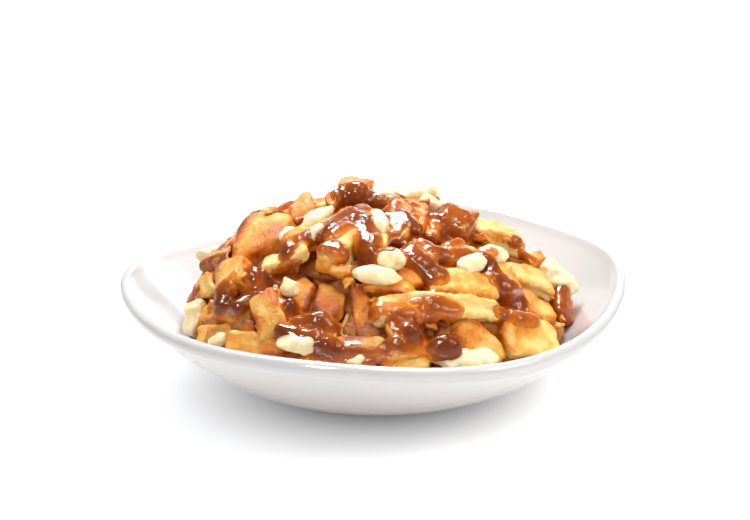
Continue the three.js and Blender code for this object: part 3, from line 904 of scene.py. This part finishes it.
# The cheese curds: fresh squeaky curds torn by hand, so each is a rounded, slightly squared lump with a
# soft dented surface, cream white, waxy and a little see-through where the hot gravy has warmed it. A row
# is the curd's place, its length, width and height, and its heading and pitch in degrees.
curd_rows = [
    ((-80, 12, 61), 11, 8, 7, 20, 10),
    ((-83, -30, 44), 17, 12, 10, 80, 65),
    ((-71, -56, 43), 9, 7, 6, -30, 35),
    ((-35, -84, 51), 18, 10, 8, -12, -10),
    ((-10, -89, 44), 9, 6, 6, 5, 8),
    ((-38, -61, 69), 9, 8, 7, -80, -50),
    ((-26, -27, 89), 20, 10, 8, 35, 20),
    ((-27, -41, 86), 11, 7, 6, 30, 30),
    ((-39, -35, 84), 9, 8, 7, 40, 35),
    ((2, -32, 88), 16, 8, 6, 115, 20),
    ((6, -57, 78), 13, 11, 10, 20, 0),
    ((0, -65, 74), 20, 9, 8, -4, -6),
    ((5, 3, 90), 10, 6, 5, 10, -15),
    ((18, 4, 90), 13, 9, 5, 20, 5),
    ((27, 9, 89), 9, 6, 5, 40, 45),
    ((27, -4, 86), 12, 7, 7, -20, -25),
    ((42, -47, 71), 15, 9, 9, 30, 10),
    ((51, -33, 70), 17, 11, 9, 20, 0),
    ((83, -6, 49), 23, 16, 11, -35, -25),
    ((36, -83, 41), 30, 13, 8, 8, -4),
]
for x, y, length, width, height, heading in (
    (-44, 38, 17, 10, 9, 60),
    (-14, 46, 14, 11, 9, 10),
    (10, 66, 19, 10, 8, 160),
    (-56, 58, 15, 9, 8, 130),
    (50, 52, 18, 11, 9, 40),
    (68, 30, 11, 9, 8, 100),
    (22, 40, 12, 9, 7, 80),
    (-18, 80, 16, 9, 8, 5),
):
    curd_rows.append(((x, y, skin_height(x, y) + 1), length, width, height, heading, 0))

CREAM_RAMP = ((0.3, (0.86, 0.68, 0.34)), (0.68, (0.93, 0.84, 0.57)))
GRAVY_STAIN = (0.45, 0.19, 0.05, 1.0)
curd_material = bpy.data.materials.new("cheese_curd")
tree = node_tree(curd_material)
place = object_place(tree)
cream = colour_ramp(tree, noise(tree, place, scale=160.0, detail=4.0), CREAM_RAMP)
finish_material(tree, {
    "Base Color": mixed_colour(tree, point_value(tree, "stained"), cream, GRAVY_STAIN),
    "Roughness": 0.34,
    "Normal": bumps(tree, noise(tree, place, scale=520.0, detail=3.0), strength=0.3, depth=0.0008),
    "Specular IOR Level": 0.5,
    "Subsurface Weight": 0.45,
    "Subsurface Radius": (1.0, 0.75, 0.4),
    "Subsurface Scale": 0.004,
})

CURD_PLUMPNESS = 1.08
LOBE_PLACES = (-0.62, -0.05, 0.55)
LONG_CURD = 1.3
LOBE_SIZES = (0.56, 0.82)
CORE_SIZE = 0.55
LOBE_MELT = 7
TORN_FLATS = 4
FLAT_PLACES = (0.55, 0.85)
FLAT_DEPTH = 0.85
FLAT_SOFTENING = 0.006
# A curd's dents and swells, each with its height as a share of the width and its size.
CURD_SWELL = (0.12, 6.0)
CURD_KNOBS = (0.05, 2.6)
CURD_DENTS = (0.05, 3.6)
CURD_GAP = 0.35


def curd_points(ball, row, number):
    """The curd's outline from a ball of radius 1: a few lobes grown together, with some torn flats."""
    at, length, width, height, heading, pitch = row
    draw = draws_from(number * 7919 + 101)
    draw()
    lobes = []
    for place in LOBE_PLACES[:3 if length > LONG_CURD * width else 2]:
        middle = np.array([place + 0.2 * (draw() - 0.5), 0.5 * (draw() - 0.5), 0.4 * (draw() - 0.5)])
        lobes.append((middle, between(draw, LOBE_SIZES)))
    lobes.append((np.zeros(3), CORE_SIZE))
    total = np.zeros(len(ball))
    for middle, radius in lobes:
        facing = ball @ middle
        beyond = np.maximum(facing ** 2 - middle @ middle + radius ** 2, 0)
        total += np.exp(LOBE_MELT * np.where(beyond > 0, facing + np.sqrt(beyond), 0.3))
    outline = ball * (np.log(total) / LOBE_MELT)[:, None]
    for _ in range(TORN_FLATS):
        way = np.array([draw(), draw(), draw()]) - 0.5
        way /= np.linalg.norm(way)
        over = outline @ way - between(draw, FLAT_PLACES)
        outline = outline - FLAT_DEPTH * np.outer(0.5 * (over + np.sqrt(over ** 2 + FLAT_SOFTENING)), way)
    middle = (outline.max(axis=0) + outline.min(axis=0)) / 2
    outline = 2 * (outline - middle) / (outline.max(axis=0) - outline.min(axis=0))
    points = CURD_PLUMPNESS * outline * np.array([length, width, height]) / 2
    swell = CURD_SWELL[0] * lumps(points, CURD_SWELL[1], 700 + number)
    swell += CURD_KNOBS[0] * lumps(points, CURD_KNOBS[1], 740 + number)
    swell -= CURD_DENTS[0] * np.abs(lumps(points, CURD_DENTS[1], 780 + number))
    points += ball * width * swell[:, None]
    turn, tip = math.radians(heading), math.radians(-pitch)
    about_y = np.array([[math.cos(tip), 0, math.sin(tip)], [0, 1, 0], [-math.sin(tip), 0, math.cos(tip)]])
    cosine, sine = math.cos(turn), math.sin(turn)
    about_z = np.array([[cosine, -sine, 0], [sine, cosine, 0], [0, 0, 1]])
    points = points @ (about_z @ about_y).T + np.array(at)
    lift_off_bowl(points, CURD_GAP)
    return points


BALL_FINENESS = 5
ball_mesh = bmesh.new()
bmesh.ops.create_icosphere(ball_mesh, subdivisions=BALL_FINENESS, radius=1.0)
ball_points = np.array([vertex.co[:] for vertex in ball_mesh.verts])
ball_faces = [[vertex.index for vertex in face.verts] for face in ball_mesh.faces]
ball_mesh.free()
curd_pieces = []
for number, row in enumerate(curd_rows):
    points = curd_points(ball_points, row, number)
    curd = add_piece(f"curd_lump_{number + 1:02d}", points, ball_faces, [curd_material])
    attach(curd, "root")
    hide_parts(f"curd_{number + 1:02d}")
    curd_pieces.append(curd)


# The gravy: a brown sauce thickened with flour and poured on hot. It drapes over chips and curds in a
# glossy coat, thin and amber on the high edges, thick and dark where it has run together, and hangs in
# drops. Each run is the path that it takes over the food, its width and how thick it lies.
GRAVY_RUNS = [
    (((-81, -4, 61), (-74, -10, 65), (-66, -20, 70)), 9, 1.3),
    (((-70, -13, 65), (-70, -30, 66)), 5, 1.0),
    (((-49, -12, 88), (-42, -14, 86)), 3, 0.8),
    (((-67, -46, 65), (-69, -44, 59), (-69, -45, 55)), 8, 1.2),
    (((-56, -42, 70), (-49, -46, 68), (-43, -56, 65), (-38, -67, 61)), 9, 1.3),
    (((-51, -49, 66), (-58, -50, 60), (-62, -53, 57)), 7, 1.3),
    (((-64, -45, 69), (-57, -41, 69)), 5, 0.6),
    (((-44, -47, 72), (-35, -51, 73)), 6, 1.2),
    (((-39, -43, 81), (-33, -43, 84), (-25, -42, 86)), 8, 1.8),
    (((0, -1, 87), (-11, -24, 90), (-21, -36, 87)), 13, 2.0),
    (((-5, -31, 88), (-3, -46, 83), (-1, -49, 75)), 11, 2.4),
    (((-4, -4, 90), (2, -14, 91), (4, -24, 89)), 9, 1.6),
    (((-30, -20, 86), (-22, -24, 89)), 7, 1.2),
    (((-25, -43, 85), (-19, -44, 88), (-11, -37, 88)), 7, 1.4),
    (((-13, -3, 92), (-10, -4, 92), (-5, -3, 93)), 14, 1.6),
    (((-4, 1, 92), (5, 0, 89)), 6, 1.4),
    (((-25, -55, 86), (-19, -54, 86), (-14, -58, 83)), 8, 1.5),
    (((-34, -77, 58), (-26, -79, 60), (-21, -79, 56)), 9, 2.4),
    (((-42, -80, 55), (-29, -83, 53), (-18, -87, 48)), 10, 2.4),
    (((-41, -82, 44), (-32, -86, 44), (-25, -88, 43)), 4, 1.2),
    (((-23, -85, 47), (-12, -87, 48), (2, -87, 47)), 7, 1.5),
    (((-18, -88, 44), (-7, -91, 44), (3, -91, 44)), 5, 1.2),
    (((2, -52, 84), (8, -53, 84), (13, -51, 81)), 5, 0.9),
    (((48, -34, 75), (53, -36, 74)), 4, 0.7),
    (((8, -3, 90), (9, -14, 91), (10, -26, 89), (12, -38, 85)), 11, 0.9),
    (((16, -10, 88), (18, -22, 87)), 8, 0.6),
    (((12, -24, 88), (18, -31, 85), (23, -43, 81)), 8, 1.8),
    (((13, -1, 89), (19, -14, 89)), 6, 0.6),
    (((12, -42, 79), (19, -54, 77), (25, -60, 72)), 12, 2.0),
    (((29, -8, 84), (36, -15, 84), (42, -16, 75)), 18, 1.1),
    (((29, -22, 80), (36, -26, 78), (42, -24, 74)), 10, 0.9),
    (((26, -32, 79), (33, -37, 78), (42, -25, 76)), 6, 1.4),
    (((25, -47, 79), (33, -46, 75), (41, -41, 74)), 8, 1.6),
    (((66, -4, 68), (66, -18, 66)), 6, 1.2),
    (((69, -5, 61), (74, -6, 59)), 4, 1.0),
    (((48, -42, 71), (54, -46, 64), (62, -46, 53)), 13, 2.0),
    (((-2, -77, 62), (6, -79, 62), (14, -79, 61)), 7, 0.7),
    (((6, -81, 61), (11, -82, 57), (14, -85, 54)), 5, 1.3),
    (((23, -64, 65), (24, -72, 64)), 5, 1.2),
    (((20, -74, 63), (25, -72, 63), (31, -73, 60)), 10, 1.0),
    (((24, -73, 63), (22, -76, 55), (22, -80, 48)), 8, 1.9),
    (((54, -64, 54), (60, -63, 52), (67, -60, 48)), 8, 1.6),
    (((86, -16, 47), (87, -24, 40), (83, -32, 34)), 13, 1.6),
    (((0, -88, 48), (8, -88, 50), (14, -89, 48)), 6, 0.5),
    (((7, -81, 58), (13, -84, 55)), 6, 0.7),
]
for path, width, thickness in (
    (((-10, 20), (-24, 40), (-34, 68)), 15, 2.0),
    (((24, 22), (36, 40), (34, 66)), 14, 2.0),
    (((4, 26), (6, 48)), 11, 1.2),
    (((58, 10), (74, 26)), 10, 1.4),
    (((-56, 16), (-72, 30)), 10, 1.4),
    (((-6, 60), (4, 76)), 9, 1.3),
    (((56, 44), (62, 58)), 11, 1.5),
    (((-52, 44), (-60, 56)), 9, 1.2),
):
    on_skin = tuple((x, y, float(skin_height(x, y)) - 1.5) for x, y in path)
    GRAVY_RUNS.append((on_skin, width, thickness))
# Each drop's middle and its half sizes, and the curds in front that gravy runs over.
GRAVY_DROPS = (
    ((28, -85, 46.5), (7.8, 4.8, 6.8)),
    ((-69, -47, 55), (4.6, 3.5, 5.5)),
    ((-61, -54, 57), (4.4, 3.2, 4.0)),
    ((-38, -68, 61), (3.6, 3.0, 5.0)),
    ((15, -86, 54), (3.2, 2.6, 4.6)),
    ((-37, -47, 79), (4.8, 3.6, 4.2)),
)
SAUCED_CURDS = (((6, -57, 78), (6.9, 6.0, 5.4)), ((51, -33, 70), (9.0, 6.0, 5.0)))
# The gravy is worked out on a grid of cells as the distance from the food less the depth of its coat.
GRAVY_CELL = 0.75
GRID_LOW = np.array((-100.0, -100.0, 26.0))
GRID_SPAN = np.array((200.0, 198.0, 78.0))
FAR_OFF = 9.0
BARE = -2.6
DRAPE = 4.5
DROP_DRAPE = 4.0
ROUND_REACH = 16
DROP_REACH = 12
RUN_MARGIN = 7
RUN_EDGE = 1.5
EDGE_FALL = 0.8
# How far a run's edges wander, and the size of the wander, broad and fine.
BROAD_WANDER = (1.9, 8.0)
FINE_WANDER = (0.8, 3.6)
FULL_WANDER_WIDTH = 9
BAND = 5.0


def bar_distance(points, row):
    """How far points are from a chip's faces, below 0 inside."""
    start, finish, width, thickness, bow = row[:5]
    middle, length, axis, side, up = bar_frame(start, finish)
    spread = points - middle
    along = spread @ axis
    over = spread @ up - bow * (1 - (2 * along / length) ** 2)
    corner = 0.34 * min(width, thickness)
    half = np.array([length, width, thickness]) / 2 - corner
    gap = np.abs(np.stack([along, spread @ side, over], axis=-1)) - half
    return np.linalg.norm(np.maximum(gap, 0), axis=-1) + np.minimum(gap.max(axis=-1), 0) - corner


def round_distance(points, centre, radii):
    """About how far points are from a rounded lump, below 0 inside."""
    spread = (points - np.array(centre)) / np.array(radii)
    return (np.linalg.norm(spread, axis=-1) - 1) * min(radii)


def path_distance(points, path):
    """How far points are from a path of straight stretches."""
    nearest = np.full(len(points), np.inf)
    for start, finish in zip(path[:-1], path[1:]):
        start, step = np.array(start, dtype=float), np.array(finish, dtype=float) - start
        share = np.clip((points - start) @ step / (step @ step), 0, 1)
        nearest = np.minimum(nearest, np.linalg.norm(points - start - share[:, None] * step, axis=1))
    return nearest


def gravy_depth(points):
    """How thick the coat lies over a point, below 0 where there is none."""
    wander = BROAD_WANDER[0] * lumps(points, BROAD_WANDER[1], 81)
    wander += FINE_WANDER[0] * lumps(points, FINE_WANDER[1], 82)
    depth = np.full(len(points), BARE)
    for path, width, thickness in GRAVY_RUNS:
        margin = width / 2 + RUN_MARGIN
        low, high = np.min(path, axis=0) - margin, np.max(path, axis=0) + margin
        close = np.all((points > low) & (points < high), axis=1)
        edge = width / 2 + wander[close] * min(1.0, width / FULL_WANDER_WIDTH)
        inside = edge - path_distance(points[close], path)
        rise = thickness * (1 - np.exp(-np.maximum(inside, 0) / RUN_EDGE))
        depth[close] = np.maximum(depth[close], np.where(inside > 0, rise, EDGE_FALL * inside))
    return depth


def blend_in(distance, other, softness):
    """The nearer of two distances, with a soft crease between them."""
    near = np.maximum(softness - np.abs(distance - other), 0) / softness
    return np.minimum(distance, other) - near ** 2 * softness / 4


def grid_block(low, high):
    """The part of the grid between two corners, and where its points are."""
    first = np.maximum(np.floor((low - GRID_LOW) / GRAVY_CELL).astype(int), 0)
    last = np.minimum(np.ceil((high - GRID_LOW) / GRAVY_CELL).astype(int), grid_size)
    block = tuple(slice(a, b) for a, b in zip(first, last))
    spots = np.stack(np.meshgrid(*(np.arange(a, b) for a, b in zip(first, last)), indexing="ij"), axis=-1)
    return block, spots * GRAVY_CELL + GRID_LOW


grid_size = np.ceil(GRID_SPAN / GRAVY_CELL).astype(int) + 1
bare_distance = np.full(grid_size, FAR_OFF, dtype=np.float32)
draped_distance = np.full(grid_size, FAR_OFF, dtype=np.float32)
for row in list(front_rows) + far_rows + lower_rows:
    reach = row[2] / 2 + FAR_OFF
    block, spots = grid_block(np.minimum(row[0], row[1]) - reach, np.maximum(row[0], row[1]) + reach)
    away = bar_distance(spots, row)
    bare_distance[block] = np.minimum(bare_distance[block], away)
    draped_distance[block] = blend_in(draped_distance[block], away, DRAPE)
for centre, radii in SAUCED_CURDS:
    block, spots = grid_block(np.array(centre) - ROUND_REACH, np.array(centre) + ROUND_REACH)
    away = round_distance(spots, centre, radii)
    bare_distance[block] = np.minimum(bare_distance[block], away)
    draped_distance[block] = blend_in(draped_distance[block], away, DRAPE)

gravy_field = draped_distance - BARE
band = np.argwhere(np.abs(draped_distance) < BAND)
band_spots = tuple(band.T)
gravy_field[band_spots] = draped_distance[band_spots] - gravy_depth(band * GRAVY_CELL + GRID_LOW)
for centre, radii in GRAVY_DROPS:
    block, spots = grid_block(np.array(centre) - DROP_REACH, np.array(centre) + DROP_REACH)
    gravy_field[block] = blend_in(gravy_field[block], round_distance(spots, centre, radii), DROP_DRAPE)
for edge in (0, -1):
    gravy_field[edge] = gravy_field[:, edge] = gravy_field[:, :, edge] = -BARE


def sampled(field, points):
    """A field's values between its grid points."""
    spot = np.clip((points - GRID_LOW) / GRAVY_CELL, 0, np.array(field.shape) - 1.001)
    cell = np.floor(spot).astype(int)
    part = spot - cell
    total = np.zeros(len(points))
    for corner in range(8):
        step = np.array([corner & 1, corner >> 1 & 1, corner >> 2 & 1])
        weight = np.prod(np.where(step == 1, part, 1 - part), axis=1)
        total += weight * field[tuple((cell + step).T)]
    return total


def skin_of(field):
    """The surface where a field passes 0: a point for each crossed cell and a face for each crossed edge."""
    rings, edge_places = [], []
    for axis in range(3):
        lower = np.take(field, range(field.shape[axis] - 1), axis)
        upper = np.take(field, range(1, field.shape[axis]), axis)
        crossed = np.argwhere((lower < 0) != (upper < 0))
        before, beyond = lower[tuple(crossed.T)], upper[tuple(crossed.T)]
        place = crossed.astype(float)
        place[:, axis] += before / (before - beyond)
        corners = []
        for step_one, step_other in ((0, 0), (-1, 0), (-1, -1), (0, -1)):
            cell = crossed.copy()
            cell[:, (axis + 1) % 3] += step_one
            cell[:, (axis + 2) % 3] += step_other
            corners.append(np.ravel_multi_index(cell.T, field.shape))
        ring = np.stack(corners, axis=1)
        ring[before >= 0] = ring[before >= 0][:, ::-1]
        rings.append(ring)
        edge_places.append(place)
    rings, edge_places = np.concatenate(rings), np.concatenate(edge_places)
    _, index = np.unique(rings, return_inverse=True)
    faces = index.reshape(rings.shape)
    share = np.bincount(faces.ravel())
    points = [np.bincount(faces.ravel(), np.repeat(edge_places[:, axis], 4)) / share for axis in range(3)]
    return np.stack(points, axis=1) * GRAVY_CELL + GRID_LOW, faces


def relaxed(points, faces, rounds):
    """Points drawn to their neighbours and back, which takes out the grid's steps and keeps the size."""
    links = np.concatenate([faces[:, (corner, (corner + 1) % 4)] for corner in range(4)])
    links = np.concatenate([links, links[:, ::-1]])
    here, there = links.T
    count = np.maximum(np.bincount(here, minlength=len(points)), 1)
    for turn in range(2 * rounds):
        mean = [np.bincount(here, points[there, axis], minlength=len(points)) / count for axis in range(3)]
        points = points + (np.stack(mean, axis=1) - points) * (0.55 if turn % 2 == 0 else -0.56)
    return points


def without_crumbs(faces, least):
    """The faces that hang together in parts of at least so many, which leaves out stray slivers."""
    label = np.arange(faces.max() + 1)
    while True:
        lower = label.copy()
        np.minimum.at(lower, faces, label[faces].min(axis=1, keepdims=True))
        lower = lower[lower]
        if (lower == label).all():
            break
        label = lower
    part = label[faces[:, 0]]
    return faces[np.bincount(part)[part] >= least]


SMOOTHING_ROUNDS = 3
# Gravy that lies deeper than this inside a chip doesn't show and is cut away.
DEEPEST = -0.7
LEAST_FACES = 20
GRAVY_GAP = 0.3
THICK_COAT = 3.0
DROP_SPAN = 1.3
DROP_CLEARNESS = 0.4
gravy_points, gravy_faces = skin_of(gravy_field)
gravy_points = relaxed(gravy_points, gravy_faces, SMOOTHING_ROUNDS)
coat = sampled(bare_distance, gravy_points)
shown = (coat[gravy_faces] > DEEPEST).any(axis=1)
gravy_faces = without_crumbs(gravy_faces[shown], LEAST_FACES)
used, index = np.unique(gravy_faces, return_inverse=True)
gravy_faces = index.reshape(gravy_faces.shape)
gravy_points, coat = gravy_points[used], coat[used]
# The round drop at the front is clear amber, so it counts as a thinner coat than it is.
drop, radii = GRAVY_DROPS[0]
in_drop = np.linalg.norm((gravy_points - drop) / radii, axis=1) < DROP_SPAN
coat = np.where(in_drop, DROP_CLEARNESS * coat, coat)
lift_off_bowl(gravy_points, GRAVY_GAP)

GRAVY_RAMP = (
    (0.0, (0.7, 0.205, 0.009)),
    (0.2, (0.46, 0.105, 0.006)),
    (0.5, (0.31, 0.062, 0.004)),
    (0.9, (0.19, 0.035, 0.003)),
)
gravy_material = bpy.data.materials.new("brown_gravy")
tree = node_tree(gravy_material)
place = object_place(tree)
swirl = noise(tree, place, scale=130.0, detail=4.0, Distortion=0.8)
grease = noise(tree, place, scale=330.0, detail=3.0)
shade = worked_out(tree, "ADD", point_value(tree, "coat"), stretched(tree, swirl, (0.3, 0.7), (-0.14, 0.14)))
finish_material(tree, {
    "Base Color": colour_ramp(tree, shade, GRAVY_RAMP),
    "Roughness": stretched(tree, grease, (0.0, 1.0), (0.02, 0.1)),
    "Normal": bumps(tree, worked_out(tree, "MULTIPLY_ADD", grease, 0.3, swirl), strength=0.5, depth=0.0018),
    "IOR": 1.45,
    "Specular IOR Level": 0.6,
    "Subsurface Weight": 0.2,
    "Subsurface Radius": (1.0, 0.25, 0.04),
    "Subsurface Scale": 0.003,
})

gravy = add_piece("gravy_coat", gravy_points, gravy_faces.tolist(), [gravy_material])
set_values(gravy, "coat", np.clip(coat / THICK_COAT, 0, 1))
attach(gravy, "root")
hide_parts("heap")


def places_of(piece):
    """Where a piece's points are, in millimetres."""
    places = np.empty(3 * len(piece.data.vertices))
    piece.data.vertices.foreach_get("co", places)
    return places.reshape(-1, 3) / MM


def eased(values, low, high):
    """Values carried over to a share from 0 to 1, softly at both ends."""
    share = np.clip((values - low) / (high - low), 0, 1)
    return share * share * (3 - 2 * share)


# The gravy soaks into the crust that it lies on or near, and what lies lower is soaked at least by a
# share. These least shares also darken the lower chips and the middle as painted shade in the gaps, and
# the chips below on the far side as painted shade against the lamps behind. It stains the curds that it
# touches.
SOAKED_FROM = -1.2
SOAKED_FULLY = 0.9
LEAST_SOAK_AND_SHADE = (
    (front_chips, 0.0), (far_chips, 0.0), (lower_chips, 0.75), (back_chips, 0.25), (middle, 0.8),
)
CURD_STAIN = 0.6
STAIN_REACH = (-0.2, 1.2)
for chips, least in LEAST_SOAK_AND_SHADE:
    soaked = np.maximum(eased(gravy_depth(places_of(chips)), SOAKED_FROM, SOAKED_FULLY), least)
    set_values(chips, "soaked", soaked)
for curd in curd_pieces:
    touched = 1 - eased(sampled(gravy_field, places_of(curd)), *STAIN_REACH)
    set_values(curd, "stained", CURD_STAIN * touched)


# The crisp scraps: small broken corners and shavings of chip that fried hard and brown, caught between the
# chips and stuck in the gravy. Each spot is a place, a length and a thickness.
scrap_spots = [
    (-16, -63, 76, 9, 5), (-12, -66, 72, 7, 4), (14, -58, 69, 8, 5), (-62, -44, 68, 8, 4),
    (-66, -38, 66, 6, 3), (84, -38, 40, 4, 2), (81, -42, 39, 5, 2), (-30, -9, 90, 5, 3),
    (23, -6, 88, 6, 3), (48, -30, 68, 6, 3), (62, -6, 68, 6, 3), (-45, -68, 58, 5, 3),
    (10, -86, 52, 6, 4), (-74, -36, 52, 6, 3), (38, -56, 66, 5, 3),
]
STRAY_SCRAPS = 46
SCRAP_REACHES = (30, 88)
SCRAP_LENGTHS = (3, 7)
SCRAP_THICKNESSES = (2, 4)
SCRAP_DEPTH = 3.5
SCRAP_TILT = 0.7
SCRAP_WIDTH = 0.75
SCRAP_BOW = 0.6
SCRAP_DONE = 1.3
SCRAP_POINT = 0.6
SCRAP_SOAKING = 0.7
scrap_draw = draws_from(6203)
for _ in range(STRAY_SCRAPS):
    angle = 2 * math.pi * scrap_draw()
    reach = between(scrap_draw, SCRAP_REACHES)
    x, y = reach * math.cos(angle), reach * math.sin(angle)
    z = float(skin_height(x, y)) - SCRAP_DEPTH
    length = between(scrap_draw, SCRAP_LENGTHS)
    scrap_spots.append((x, y, z, length, between(scrap_draw, SCRAP_THICKNESSES)))
scrap_chips = []
for number, (*centre, length, thickness) in enumerate(scrap_spots):
    heading = 2 * math.pi * scrap_draw()
    tip = SCRAP_TILT * (scrap_draw() - 0.5)
    step = np.array([math.cos(heading), math.sin(heading), tip]) * length / 2
    ends = (np.array(centre) - step, np.array(centre) + step)
    row = (*ends, SCRAP_WIDTH * length, thickness, SCRAP_BOW, SCRAP_DONE, SCRAP_POINT)
    points, faces, browned = chip_surface(row, 800 + number, around=14, step=0.9)
    ragged = lumps(points, 1.6, 820 + number)[:, None] * (points - np.array(centre)) * 0.3
    scrap_chips.append((points + ragged, faces, browned))
scraps = add_chips("crisp_scraps", scrap_chips, crust)
soaked = SCRAP_SOAKING * eased(gravy_depth(places_of(scraps)), SOAKED_FROM, SOAKED_FULLY)
set_values(scraps, "soaked", soaked)
